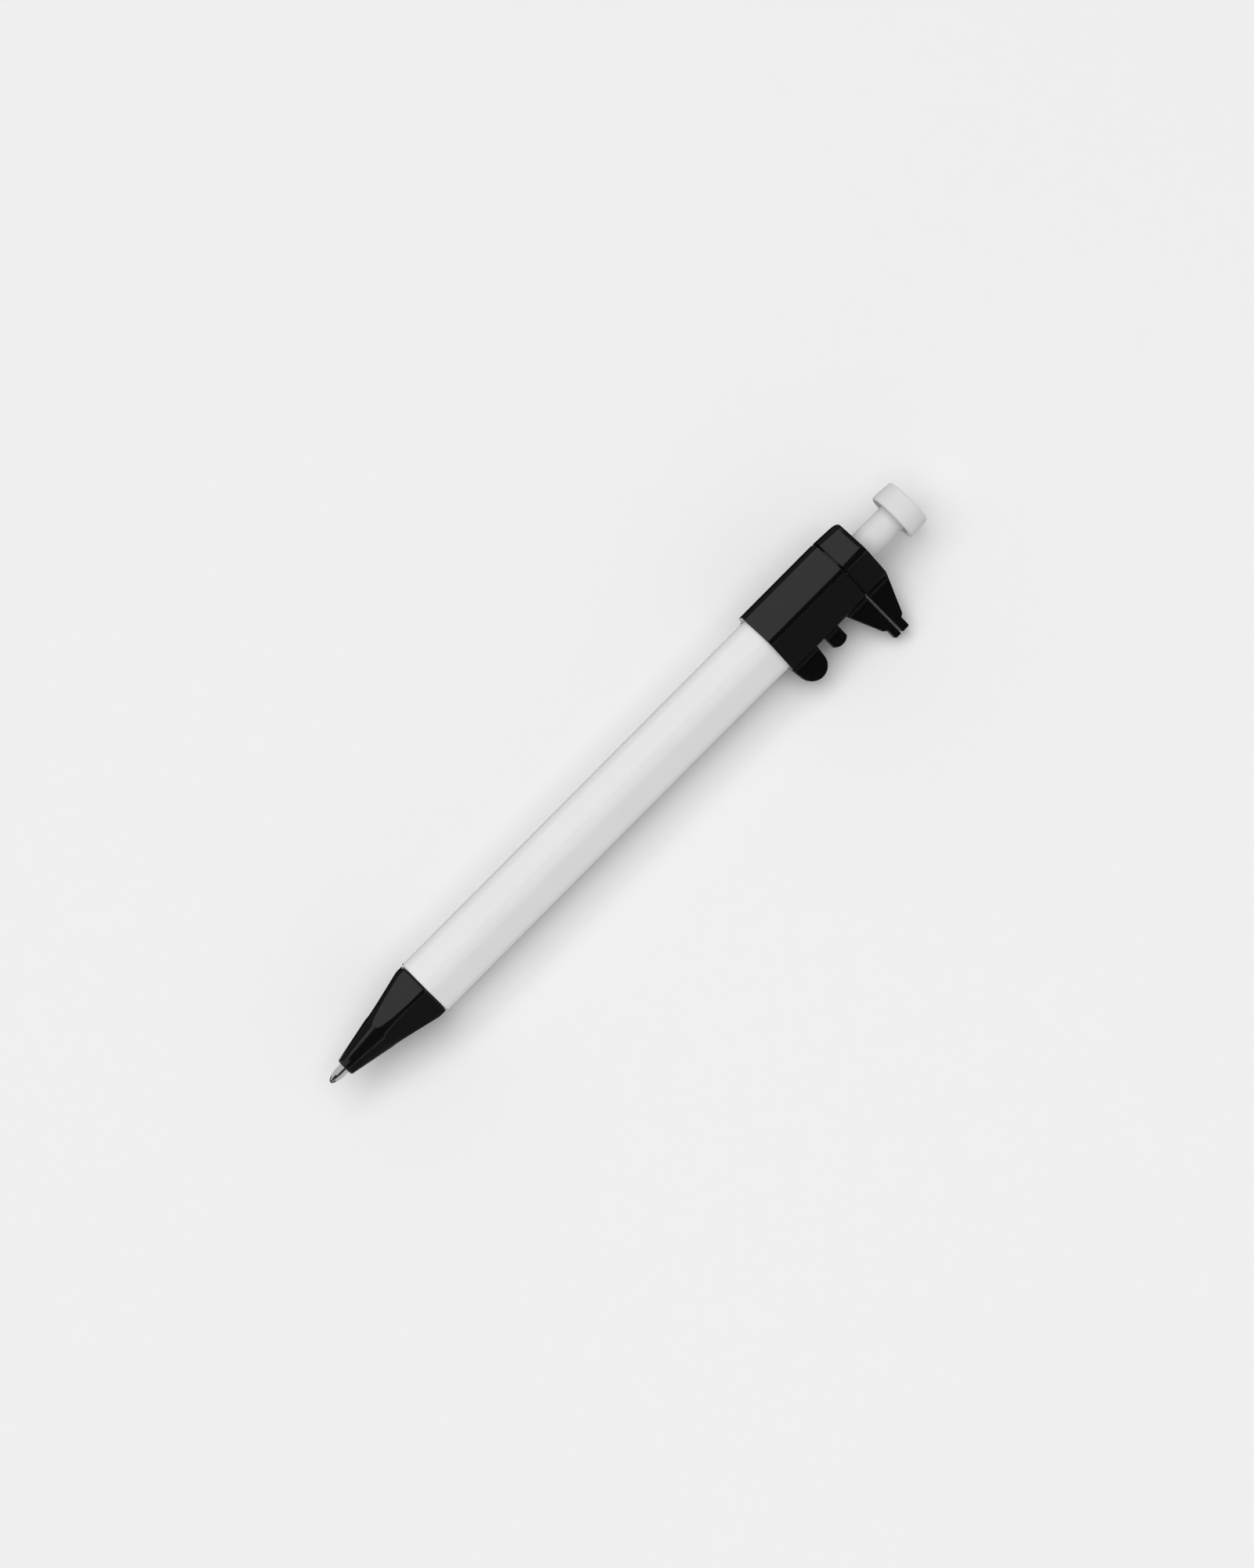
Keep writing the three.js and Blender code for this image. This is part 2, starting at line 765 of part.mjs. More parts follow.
// A named piece placed along the pen
function piece(name, body, x, finish) {
  const mesh = new THREE.Mesh(surfaceOf(body), new THREE.MeshStandardMaterial(finish));
  mesh.name = name;
  mesh.position.x = x;
  return mesh;
}

const inkFront = holderRear + seatGap;
const inkLength = tubeRear - airLength - followerLength - inkFront;
const springFront = springSeat + seatGap;
const springLength = collarFront - seatGap - springFront;

const housing = new THREE.Group().add(
  piece('barrel', barrelShape(), barrelFront, whiteAbs),
  piece('nose_cone', noseShape(), noseFront, blackAbs),
  piece('end_cap', capShape(), capSpigotFront, blackAbs),
  piece('cam_guide', guideShape(), guideFront, acetal),
  piece('return_spring', springShape(springLength), springFront, springSteel),
);

const slider = piece('slider', sliderShape(), sliderFront, blackAbs);

const plunger = new THREE.Group().add(
  piece('plunger_rod', rodShape(), rodFront, buttonWhite),
  piece('push_button', buttonShape(), buttonFront, buttonWhite),
);

const refill = new THREE.Group().add(
  piece('cam_rotor', camShape(), camFront, acetal),
  piece('ink_tube', tubeShape(), tubeFront, polypropylene),
  piece('ink_column', plugShape(inkLength), inkFront, inkBlack),
  piece('ink_follower', plugShape(followerLength), inkFront + inkLength + locatingFit, grease),
  piece('tip_holder', holderShape(), holderFront, polypropylene),
  piece('writing_tip', tipShape(), 0, nickelSilver),
  piece('tip_ball', ballShape(), ballRadius, carbide),
);

// At rest the pen lies on the slider's lower corner and leans on the ends of its jaws
const cornerCentre = (facetAt - sliderCorner) / Math.cos(Math.PI / 6);
const lean = cornerCentre - jawThickness / 2;
const roll = Math.atan2(lean, jawReach) + Math.asin(sliderCorner / Math.hypot(lean, jawReach));

const pen = new THREE.Group().add(housing, slider, plunger, refill);
pen.rotation.x = roll;

// The origin is below the middle of the pen, on the surface that it lies on
const bounds = new THREE.Box3().setFromObject(pen, true);
const middle = bounds.getCenter(new THREE.Vector3());
pen.position.set(-middle.x, -middle.y, -bounds.min.z);

const group = new THREE.Group().add(pen);
group.updateMatrixWorld(true);

export default group;
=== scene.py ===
from math import acos, asin, atan2, cos, hypot, pi, radians, sin, sqrt

import bmesh
import bpy
from mathutils import Matrix, Vector


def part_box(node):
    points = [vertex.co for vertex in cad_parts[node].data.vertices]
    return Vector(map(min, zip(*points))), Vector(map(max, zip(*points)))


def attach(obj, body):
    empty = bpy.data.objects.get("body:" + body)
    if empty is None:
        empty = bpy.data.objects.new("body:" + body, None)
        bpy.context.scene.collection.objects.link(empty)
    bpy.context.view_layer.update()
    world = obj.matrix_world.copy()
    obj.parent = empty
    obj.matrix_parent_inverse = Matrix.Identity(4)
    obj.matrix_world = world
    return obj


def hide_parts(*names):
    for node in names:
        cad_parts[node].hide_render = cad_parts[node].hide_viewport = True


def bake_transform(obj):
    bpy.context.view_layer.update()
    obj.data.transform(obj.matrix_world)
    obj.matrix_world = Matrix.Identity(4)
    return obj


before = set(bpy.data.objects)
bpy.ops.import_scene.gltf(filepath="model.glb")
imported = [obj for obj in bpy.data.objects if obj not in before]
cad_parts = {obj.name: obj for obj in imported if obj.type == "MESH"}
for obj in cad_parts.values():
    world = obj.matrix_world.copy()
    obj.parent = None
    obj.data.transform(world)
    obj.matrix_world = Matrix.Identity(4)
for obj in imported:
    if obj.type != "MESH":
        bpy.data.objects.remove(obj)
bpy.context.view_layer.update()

MM = 0.001

# Driving sizes. They are the construction's, apart from the slider's soft corner, the jaws' insets,
# the cap's bevel and round end and the small edge rounds, which follow the photograph more closely.
BARREL_FLATS = 11.9 * MM
BARREL_CORNER = 2.9 * MM
BORE = 4.2 * MM
SOCKET = 4.5 * MM
SOCKET_DEPTH = 9.3 * MM
NOSE_FLATS = 11.1 * MM
NOSE_CORNER = 1.0 * MM
NOSE_PRISM = 1.8 * MM
NOSE_ROUND = 9.1 * MM
NOSE_END = 1.84 * MM
NOSE_THROAT_DEPTH = 2.75 * MM
NOSE_SLEEVE_BORE = 1.6 * MM
SPRING_SEAT_DEPTH = 7.25 * MM
SPRING_BORE = 2.45 * MM
SPRING_BORE_LENGTH = 9.0 * MM
NOSE_WIDE_BORE = 3.3 * MM
NOSE_WIDE_BORE_FROM = 12.3 * MM
SEAM = 0.12 * MM
SLIDER_FLATS = 13.37 * MM
SLIDER_CORNER = 1.0 * MM
SLIDER_SOFT_CORNER = 1.3 * MM
RIM_ROUND = 0.14 * MM
JAW_THICKNESS = 3.0 * MM
JAW_REACH = 16.07 * MM
JAW_ROOT = 5.3 * MM
JAW_SHOULDER = 2.3 * MM
JAW_SHOULDER_AT = 13.6 * MM
JAW_STEP = 0.4 * MM
JAW_TIP = 1.65 * MM
JAW_EDGE = 0.1 * MM
LUG_EDGE = 0.2 * MM
SUNK_ROOT = 0.4 * MM
MOVING_JAW_BACK_INSET = 0.3 * MM
FIXED_JAW_FACE_INSET = 0.12 * MM
FIXED_JAW_BACK_INSET = -0.14 * MM
ROOT_FILLET = 0.95 * MM
CAP_LENGTH = 5.45 * MM
CAP_NECK = 0.8 * MM
CAP_CORNER = 1.6 * MM
CAP_DRAFT = 0.2 * MM
CAP_BEVEL = 0.86 * MM
CAP_BEVEL_INSET = 0.14 * MM
CAP_END_ROUND = 0.18 * MM
FIT = 0.07 * MM
SNUG = 0.05 * MM
ROD = 2.87 * MM
ROD_BORE = 1.5 * MM
BUTTON_RIM = 5.05 * MM
BUTTON_END = 4.85 * MM
BUTTON_RECESS = 3.93 * MM
BUTTON_FLOOR = 1.8 * MM
TIP_RADIUS = 1.065 * MM
TIP_OGIVE = 2.42 * MM
TIP_LIP_AT = 0.33 * MM
TIP_LIP = 0.56 * MM
TIP_SHANK = 0.8 * MM
TIP_SHANK_LENGTH = 6.0 * MM
TIP_DUCT = 0.25 * MM
BALL = 0.5 * MM
BALL_PLAY = 0.03 * MM
SPRING_RADIUS = 2.0 * MM
SPRING_WIRE = 0.38 * MM
SPRING_TURNS = 13
GUIDE_SHOULDER_GAP = 0.3 * MM
KEY_GAP = 5.8 * MM
KEY_LENGTH = 3.0 * MM
KEY_HALF_WIDTH = 0.9 * MM
KEY_REACH = 3.7 * MM
INCH = 25.4 * MM

# Fineness of the round shapes
CORNER_STEPS = 8
EASING = 6.0
EASE_FROM = radians(24)
EDGE_STEPS = 5
EASING_STEPS = 8
LUG_STEPS = 24
TIP_STEPS = 14
FLAT_STEPS = 14
ROUND_SEGMENTS = 96
BALL_SEGMENTS = 48
BALL_STEPS = 24
EDGE_SEGMENTS = 3
SMOOTH_BELOW = radians(32)
TOUCH = 1e-9
MERGE_WITHIN = 1e-8
PRINT_MERGE_WITHIN = 1e-7

# The wave texture's own density: its bands turn through this many radians per unit of length
WAVE_RADIANS = 20

# The facets at the back that carry the printed scales, as turns about the pen's axis in degrees
METRIC_FACET = 300
INCH_FACET = 240

# The pen's axis and how far it is rolled to lean on its jaws
button_low, button_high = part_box("push_button")
axis_y = (button_low.y + button_high.y) / 2
axis_z = (button_low.z + button_high.z) / 2
facet_at = SLIDER_FLATS / 2
lean = (facet_at - SLIDER_CORNER) / cos(pi / 6) - JAW_THICKNESS / 2
roll = atan2(lean, JAW_REACH) + asin(SLIDER_CORNER / hypot(lean, JAW_REACH))
pen_place = Matrix.Translation((0, axis_y, axis_z)) @ Matrix.Rotation(roll, 4, "X")


def along(node):
    """The lowest and highest x of a construction node."""
    low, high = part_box(node)
    return low.x, high.x


# Materials

def linear(hex_colour):
    """An sRGB hex colour as linear RGBA."""
    channels = [int(hex_colour[i:i + 2], 16) / 255 for i in (1, 3, 5)]
    return tuple(c / 12.92 if c <= 0.04045 else ((c + 0.055) / 1.055) ** 2.4 for c in channels) + (1.0,)


def node(tree, kind, settings=None, **links):
    """Adds a node: settings are its properties, links are values or sockets for its inputs.

    An input is named with underscores for its spaces, or by its number, as in i0.
    """
    made = tree.nodes.new(kind)
    for key, value in (settings or {}).items():
        setattr(made, key, value)
    for key, value in links.items():
        numbered = key[0] == "i" and key[1:].isdigit()
        socket = made.inputs[int(key[1:]) if numbered else key.replace("_", " ")]
        if isinstance(value, bpy.types.NodeSocket):
            tree.links.new(value, socket)
        else:
            socket.default_value = value
    return made


def finish_material(name, colours, roughness, **shader):
    """The base of every finish: a shader whose colour and roughness vary softly over the piece.

    mottle and haze are the patterns' scales per millimetre.
    """
    material = bpy.data.materials.new(name)
    material.use_nodes = True
    tree = material.node_tree
    tree.nodes.clear()
    place = node(tree, "ShaderNodeTexCoord").outputs["Object"]
    mottle = node(
        tree, "ShaderNodeTexNoise",
        Vector=place, Scale=shader.pop("mottle") / MM, Detail=3.0,
    )
    tone = node(
        tree, "ShaderNodeMix", {"data_type": "RGBA"},
        i0=mottle.outputs["Fac"], i6=linear(colours[0]), i7=linear(colours[1]),
    )
    haze = node(tree, "ShaderNodeTexNoise", Vector=place, Scale=shader.pop("haze") / MM, Detail=4.0)
    gloss = node(
        tree, "ShaderNodeMapRange",
        Value=haze.outputs["Fac"], i1=0.3, i2=0.7, i3=roughness[0], i4=roughness[1],
    )
    surface = node(
        tree, "ShaderNodeBsdfPrincipled",
        Base_Color=tone.outputs[2], Roughness=gloss.outputs[0], **shader,
    )
    node(tree, "ShaderNodeOutputMaterial", Surface=surface.outputs[0])
    return material, tree, surface, place


def bump(tree, surface, height, strength, depth):
    """Relief of a real depth in metres."""
    relief = node(tree, "ShaderNodeBump", Height=height, Strength=strength, Distance=depth)
    tree.links.new(relief.outputs[0], surface.inputs["Normal"])


def moulded_abs(name, colours, roughness, streak, relief, **shader):
    """Injection moulded ABS: glossy, with a faint orange peel and flow streaks along the pen."""
    material, tree, surface, place = finish_material(
        name, colours, roughness, mottle=0.12, haze=0.9, IOR=1.54, **shader,
    )
    peel = node(tree, "ShaderNodeTexNoise", Vector=place, Scale=2.2 / MM, Detail=2.0)
    stretched = node(tree, "ShaderNodeMapping", Vector=place, Scale=(0.04, 1.0, 1.0))
    flow = node(tree, "ShaderNodeTexNoise", Vector=stretched.outputs[0], Scale=3.0 / MM, Detail=3.0)
    both = node(
        tree, "ShaderNodeMath", {"operation": "MULTIPLY_ADD"},
        i0=flow.outputs["Fac"], i1=streak, i2=peel.outputs["Fac"],
    )
    bump(tree, surface, both.outputs[0], 0.25, relief)
    return material


def turned_metal(name, colours, roughness, ring):
    """Turned bright metal: fine tool rings across the pen's axis, ring times 2 pi apart."""
    material, tree, surface, place = finish_material(
        name, colours, roughness, mottle=0.8, haze=3.0, Metallic=1.0,
    )
    rings = node(
        tree, "ShaderNodeTexWave", {"bands_direction": "X"},
        Vector=place, Scale=1 / (ring * WAVE_RADIANS), Distortion=0.6, Detail=2.0,
    )
    bump(tree, surface, rings.outputs["Fac"], 0.35, 0.002 * MM)
    return material


def drawn_wire(name, colours, roughness):
    """Drawn spring wire: bright, with streaks that the die left."""
    material, tree, surface, place = finish_material(
        name, colours, roughness, mottle=1.5, haze=6.0, Metallic=1.0,
    )
    streaks = node(tree, "ShaderNodeTexNoise", Vector=place, Scale=14 / MM, Detail=4.0)
    bump(tree, surface, streaks.outputs["Fac"], 0.3, 0.002 * MM)
    return material


def soft_plastic(name, colours, roughness, **shader):
    """Acetal, polypropylene or grease: softly glossy with a fine moulded grain."""
    material, tree, surface, place = finish_material(
        name, colours, roughness, mottle=0.3, haze=1.5, **shader,
    )
    grain = node(tree, "ShaderNodeTexNoise", Vector=place, Scale=6 / MM, Detail=3.0)
    bump(tree, surface, grain.outputs["Fac"], 0.3, 0.004 * MM)
    return material


# White ABS shows an even, bright body with a clear, soft sheen on each flat.
white_abs = moulded_abs(
    "moulded_white_abs", ("#e4e4e4", "#e9e9e9"), (0.16, 0.22), 0.6, 0.003 * MM,
    Coat_Weight=0.6, Coat_Roughness=0.12,
)
# The button and rod are a shade greyer and more satin, with wide, faint highlights.
button_abs = moulded_abs(
    "moulded_button_abs", ("#dadada", "#dfdfdf"), (0.3, 0.42), 0.4, 0.004 * MM,
)
# Black ABS is deep black, and each flat shows the tone of what it faces: grey above from the softbox, and
# near black below, a painted reflection of the glowing black and grey sheets beside the pen.
black_abs = moulded_abs(
    "moulded_black_abs", ("#080707", "#0b0a0a"), (0.14, 0.2), 0.6, 0.006 * MM,
)
# The tip is slightly warm; its bright body is a painted reflection of the pale glowing sheets beside it,
# and the dark line along its middle is the dim studio seen between them.
nickel_silver = turned_metal(
    "turned_nickel_silver", ("#e2e1df", "#ecebe9"), (0.1, 0.16), 0.06 * MM,
)
# The ball is a dark grey point with a small highlight.
carbide = turned_metal(
    "polished_carbide", ("#6a6b70", "#7a7b80"), (0.08, 0.16), 0.05 * MM,
)
# The spring glints along its coils.
spring_steel = drawn_wire("drawn_spring_steel", ("#a6a8ab", "#b6b8bb"), (0.2, 0.32))
# Natural acetal is a waxy, warm off-white.
acetal = soft_plastic("moulded_acetal", ("#d6d2c8", "#dedbd2"), (0.38, 0.5), IOR=1.48)
# Polypropylene is milky and lets the ink show through.
polypropylene = soft_plastic(
    "extruded_polypropylene", ("#dce2e6", "#e6ebee"), (0.3, 0.42), IOR=1.49, Transmission_Weight=0.55,
)
# Ballpoint ink is a wet blue-black.
ballpoint_ink = soft_plastic("ballpoint_ink", ("#08080e", "#0d0d15"), (0.12, 0.2), IOR=1.45)
# Follower grease is clear yellow and wet.
follower_grease = soft_plastic(
    "follower_grease", ("#d6c98c", "#e0d6a0"), (0.2, 0.3), IOR=1.47, Transmission_Weight=0.4,
)
# Pad printing is a dull near black film.
print_ink = soft_plastic("pad_print_ink", ("#161616", "#1f1f1f"), (0.4, 0.55), IOR=1.5)


# Mesh making

def object_from(name, points, faces):
    """A closed mesh object with doubles merged and its faces turned outwards."""
    mesh = bpy.data.meshes.new(name)
    mesh.from_pydata(points, [], faces)
    shape = bmesh.new()
    shape.from_mesh(mesh)
    bmesh.ops.remove_doubles(shape, verts=shape.verts, dist=MERGE_WITHIN)
    bmesh.ops.dissolve_degenerate(shape, edges=shape.edges, dist=TOUCH)
    bmesh.ops.recalc_face_normals(shape, faces=shape.faces)
    if shape.calc_volume(signed=True) < 0:
        bmesh.ops.reverse_faces(shape, faces=shape.faces)
    shape.to_mesh(mesh)
    shape.free()
    made = bpy.data.objects.new(name, mesh)
    bpy.context.scene.collection.objects.link(made)
    return made


def loft(name, rings, closed=False):
    """A skin over rings of equal counts: closed joins the last ring to the first, as in a tube."""
    count = len(rings[0])
    points = [point for ring in rings for point in ring]
    faces = []
    for r in range(len(rings) if closed else len(rings) - 1):
        here, there = r * count, (r + 1) % len(rings) * count
        for i in range(count):
            j = (i + 1) % count
            faces.append((here + i, here + j, there + j, there + i))
    if not closed:
        faces.append(tuple(range(count)))
        faces.append(tuple(range(len(points) - count, len(points))))
    return object_from(name, points, faces)


def half_corner(apothem, corner):
    """One half of a hexagon's round corner, from its middle to the flat.

    The bend grows ever gentler from EASE_FROM on, so the highlight fades into the flat.
    """
    easing = EASING * (apothem - corner)
    turns = [pi / 6 * s / CORNER_STEPS for s in range(CORNER_STEPS + 1)]
    points = [Vector((0, 0))]
    for start, end in zip(turns, turns[1:]):
        step = (end - start) / EASING_STEPS
        here = points[-1].copy()
        for i in range(EASING_STEPS):
            turn = start + (i + 0.5) * step
            late = max(0, (turn - EASE_FROM) / (pi / 6 - EASE_FROM))
            here += Vector((-sin(turn), cos(turn))) * (corner + easing * late ** 2) * step
        points.append(here)
    flat = Vector((cos(pi / 6), sin(pi / 6)))
    outward = (apothem - points[-1].dot(flat)) / cos(pi / 6)
    return [point + Vector((outward, 0)) for point in points]


def hex_ring(x, apothem, corner):
    """A hexagonal section with round corners; a corner as large as the apothem is a circle."""
    half = half_corner(apothem, corner)
    whole = [Vector((point.x, -point.y)) for point in half[:0:-1]] + half
    ring = []
    for k in range(6):
        middle = pi / 6 + k * pi / 3
        for point in whole:
            y = point.x * cos(middle) - point.y * sin(middle)
            z = point.x * sin(middle) + point.y * cos(middle)
            ring.append(Vector((x, y, z)))
    return ring


def circle_ring(x, radius):
    """A round section with as many points as a hexagonal one."""
    return hex_ring(x, radius, radius)


def rim_rings(x, direction, apothem, corner, edge):
    """Rings of a rounded rim that begins square to the pen at x and grows by direction."""
    rings = []
    for s in range(EDGE_STEPS + 1):
        turn = s / EDGE_STEPS * pi / 2
        inset = edge * (1 - sin(turn))
        step = edge * (1 - cos(turn))
        rings.append(hex_ring(x + direction * step, apothem - inset, corner - inset))
    return rings


def lathe(name, profile, segments=ROUND_SEGMENTS):
    """A turned piece from (x, radius) points that close on the axis or on themselves."""
    on_axis = profile[0][1] == 0
    turns = [i / segments * 2 * pi for i in range(segments)]
    rings = [[Vector((x, radius * cos(t), radius * sin(t))) for t in turns] for x, radius in profile]
    return loft(name, rings, closed=not on_axis)


def quarter(centre_x, centre_r, radius, start, end):
    """Profile points on an arc in the (x, radius) plane, angles in quarter turns."""
    points = []
    for s in range(EDGE_STEPS + 1):
        turn = (start + (end - start) * s / EDGE_STEPS) * pi / 2
        points.append((centre_x + radius * cos(turn), centre_r + radius * sin(turn)))
    return points


def rounded_outline(corners):
    """A closed outline from (x, p, radius) corners, each rounded by its radius."""
    points = []
    for i, (x, p, radius) in enumerate(corners):
        here = Vector((x, p))
        before = Vector(corners[i - 1][:2])
        after = Vector(corners[(i + 1) % len(corners)][:2])
        if radius == 0:
            points.append(here)
            continue
        back, ahead = (before - here).normalized(), (after - here).normalized()
        half = acos(max(-1.0, min(1.0, back.dot(ahead)))) / 2
        reach = min(
            radius / sin(half) * cos(half),
            (before - here).length / 2,
            (after - here).length / 2,
        )
        start, end = here + back * reach, here + ahead * reach
        for s in range(EDGE_STEPS + 1):
            t = s / EDGE_STEPS
            points.append(start * (1 - t) ** 2 + here * (2 * t * (1 - t)) + end * t ** 2)
    return points


def blade(name, outline, edge):
    """A jaw or lug plate over an outline of (x, p), with its long edges rounded."""
    half = JAW_THICKNESS / 2
    count = len(outline)
    points = [Vector((x, -p, z)) for z in (-half, half) for x, p in outline]
    faces = [tuple(range(count)), tuple(range(count, 2 * count))]
    faces += [(i, (i + 1) % count, count + (i + 1) % count, count + i) for i in range(count)]
    plate = object_from(name, points, faces)
    shape = bmesh.new()
    shape.from_mesh(plate.data)
    rims = [
        e for e in shape.edges
        if abs(abs(e.verts[0].co.z) - half) < TOUCH
        and abs(e.verts[0].co.z - e.verts[1].co.z) < TOUCH
    ]
    bmesh.ops.bevel(
        shape, geom=rims, offset=edge, segments=EDGE_SEGMENTS, profile=0.5,
        affect="EDGES", clamp_overlap=True,
    )
    shape.to_mesh(plate.data)
    shape.free()
    return plate


def root_fillets(name, ends):
    """Concave strips between the facet and a blade's two sides; ends(p) gives the blade's x at p.

    A strip reaches inside the facet and the blade, its round sinks a hair below both, and trim keeps
    it short of the blade's bevelled ends, so that the exact booleans meet no faces that only touch.
    """
    strips = []
    inside, hair, trim = 0.3 * MM, 0.005 * MM, 0.16 * MM
    half = JAW_THICKNESS / 2
    for side in (-1, 1):
        section = [(facet_at - inside, half - inside), (facet_at - inside, half + ROOT_FILLET)]
        for s in range(2 * EDGE_STEPS + 1):
            turn = s / (2 * EDGE_STEPS) * pi / 2
            p = facet_at - hair + ROOT_FILLET * (1 - cos(turn))
            z = half - hair + ROOT_FILLET * (1 - sin(turn))
            section.append((p, z))
        section.append((facet_at + ROOT_FILLET, half - inside))
        low = [Vector((ends(p)[0] + trim, -p, side * z)) for p, z in section]
        high = [Vector((ends(p)[1] - trim, -p, side * z)) for p, z in section]
        strips.append(loft(f"{name}_{side}", [low, high]))
    return strips


def join_solids(base, others):
    """Exact union of the base with each of the others, which are used up."""
    for other in others:
        change = base.modifiers.new("join", "BOOLEAN")
        change.object = other
        change.operation = "UNION"
        change.solver = "EXACT"
        graph = bpy.context.evaluated_depsgraph_get()
        result = bpy.data.meshes.new_from_object(base.evaluated_get(graph))
        base.modifiers.remove(change)
        base.data = result
        bpy.data.objects.remove(other)
    return base


def finish_piece(piece, body, material, replaced=(), place=pen_place):
    """Puts a piece in its place on its body, smooth with crisp edges.
    """
    piece.data.transform(place)
    piece.data.materials.clear()
    piece.data.materials.append(material)
    piece.data.shade_smooth()
    piece.data.set_sharp_from_angle(angle=SMOOTH_BELOW)
    weighted = piece.modifiers.new("flat faces stay flat", "WEIGHTED_NORMAL")
    weighted.keep_sharp = True
    if replaced:
        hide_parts(*replaced)
    if body:
        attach(piece, body)
    return piece


# Pieces

def make_barrel():
    """White hexagonal tube with a socket in each end."""
    front, rear = along("barrel")
    apothem = BARREL_FLATS / 2
    front_edge, rear_edge = 0.35 * MM, 0.15 * MM
    rings = rim_rings(front, 1, apothem, BARREL_CORNER, front_edge)
    rings += rim_rings(rear, -1, apothem, BARREL_CORNER, rear_edge)[::-1]
    guide_front = along("cam_guide")[0] - GUIDE_SHOULDER_GAP
    rings += [
        circle_ring(rear, SOCKET),
        circle_ring(guide_front, SOCKET),
        circle_ring(guide_front, BORE),
        circle_ring(front + SOCKET_DEPTH, BORE),
        circle_ring(front + SOCKET_DEPTH, SOCKET),
        circle_ring(front, SOCKET),
    ]
    tube = loft("barrel_tube", rings, closed=True)
    return finish_piece(tube, "housing", white_abs, ["barrel"])


def make_nose():
    """Black cone: flats at its base run out in curves, as on a sharpened pencil, into a round tip."""
    front, spigot_rear = along("nose_cone")
    base = along("barrel")[0] - SEAM
    prism = along("barrel")[0] - NOSE_PRISM
    apothem = NOSE_FLATS / 2
    edge, base_edge = 0.41 * MM, 0.4 * MM
    bend = 0.2 * MM
    slope = (apothem - NOSE_END) / (prism - front - edge)
    facet_start = front + NOSE_ROUND

    def cone(x):
        share = min(1, max(0, (x - facet_start) / (prism - facet_start)))
        flat, straight_flat = (power * (apothem - NOSE_CORNER) for power in (sqrt(share), share))
        sunk = (1 / cos(pi / 6) - 1) * (flat - straight_flat)
        size = NOSE_END + slope * (x - front - edge) - sunk
        return hex_ring(x, size, size - flat)

    rings = rim_rings(front, 1, NOSE_END, NOSE_END, edge)
    rings += [cone(facet_start - bend), cone(facet_start)]
    for s in range(1, FLAT_STEPS + 1):
        rings.append(cone(facet_start + (prism - bend - facet_start) * (s / FLAT_STEPS) ** 2))
    rings += [hex_ring(prism + bend, apothem, NOSE_CORNER)]
    rings += rim_rings(base, -1, apothem, NOSE_CORNER, base_edge)[::-1]
    spring_seat = front + SPRING_SEAT_DEPTH
    throat = front + NOSE_THROAT_DEPTH
    rings += [
        circle_ring(base, SOCKET - SNUG),
        circle_ring(spigot_rear, SOCKET - SNUG),
        circle_ring(spigot_rear, NOSE_WIDE_BORE),
        circle_ring(spring_seat + NOSE_WIDE_BORE_FROM, NOSE_WIDE_BORE),
        circle_ring(spring_seat + SPRING_BORE_LENGTH, SPRING_BORE),
        circle_ring(spring_seat, SPRING_BORE),
        circle_ring(spring_seat, NOSE_SLEEVE_BORE),
        circle_ring(throat + NOSE_SLEEVE_BORE - TIP_RADIUS, NOSE_SLEEVE_BORE),
        circle_ring(throat, TIP_RADIUS + FIT),
        circle_ring(front, TIP_RADIUS + FIT),
    ]
    shell = loft("nose_shell", rings, closed=True)
    return finish_piece(shell, "housing", black_abs, ["nose_cone"])


def jaw_back(edge, direction):
    """The x of a jaw's back edge at a distance p from the axis, as a function."""
    slope = (JAW_ROOT - JAW_SHOULDER) / (JAW_SHOULDER_AT - facet_at)

    def back(p):
        return edge + direction * (JAW_ROOT - (p - facet_at) * slope)

    return back


def make_jaw(name, rim, direction, face_inset, back_inset):
    """A jaw blade and its root fillets, with the measuring face square to the pen.

    face_inset moves the face back from the rim, and back_inset moves the back towards it.
    """
    root = facet_at - SUNK_ROOT
    small, soft = 0.16 * MM, 0.36 * MM
    face = rim + direction * face_inset
    edge = rim - direction * back_inset
    corners = [
        (face, root, 0),
        (edge + direction * JAW_ROOT, root, 0),
        (edge + direction * JAW_ROOT, facet_at, 0),
        (edge + direction * JAW_SHOULDER, JAW_SHOULDER_AT, soft / 2),
        (edge + direction * JAW_TIP, JAW_SHOULDER_AT + JAW_STEP, soft / 3),
        (edge + direction * JAW_TIP, JAW_REACH, soft),
        (face, JAW_REACH, small),
    ]
    back = jaw_back(edge, direction)
    plate = blade(f"{name}_blade", rounded_outline(corners), JAW_EDGE)
    fillets = root_fillets(f"{name}_root", lambda p: sorted((face, back(p))))
    return [plate] + fillets


def make_lug(name, middle, width, end_width, rise, reach):
    """A thumb lug: sides that draw in slightly to a round end."""
    half, end_half = width / 2, end_width / 2
    radius = (end_half ** 2 + rise ** 2) / (2 * rise)
    centre = reach - radius
    start = atan2(radius - rise, end_half)
    outline = [Vector((middle + half, facet_at - SUNK_ROOT)), Vector((middle + half, facet_at))]
    for s in range(LUG_STEPS + 1):
        turn = start + (pi - 2 * start) * s / LUG_STEPS
        outline.append(Vector((middle + radius * cos(turn), centre + radius * sin(turn))))
    outline += [Vector((middle - half, facet_at)), Vector((middle - half, facet_at - SUNK_ROOT))]
    draw_in = (half - end_half) / (reach - rise - facet_at)

    def ends(p):
        inset = (p - facet_at) * draw_in
        return middle - half + inset, middle + half - inset

    plate = blade(f"{name}_blade", outline, LUG_EDGE)
    return [plate] + root_fillets(f"{name}_root", ends)


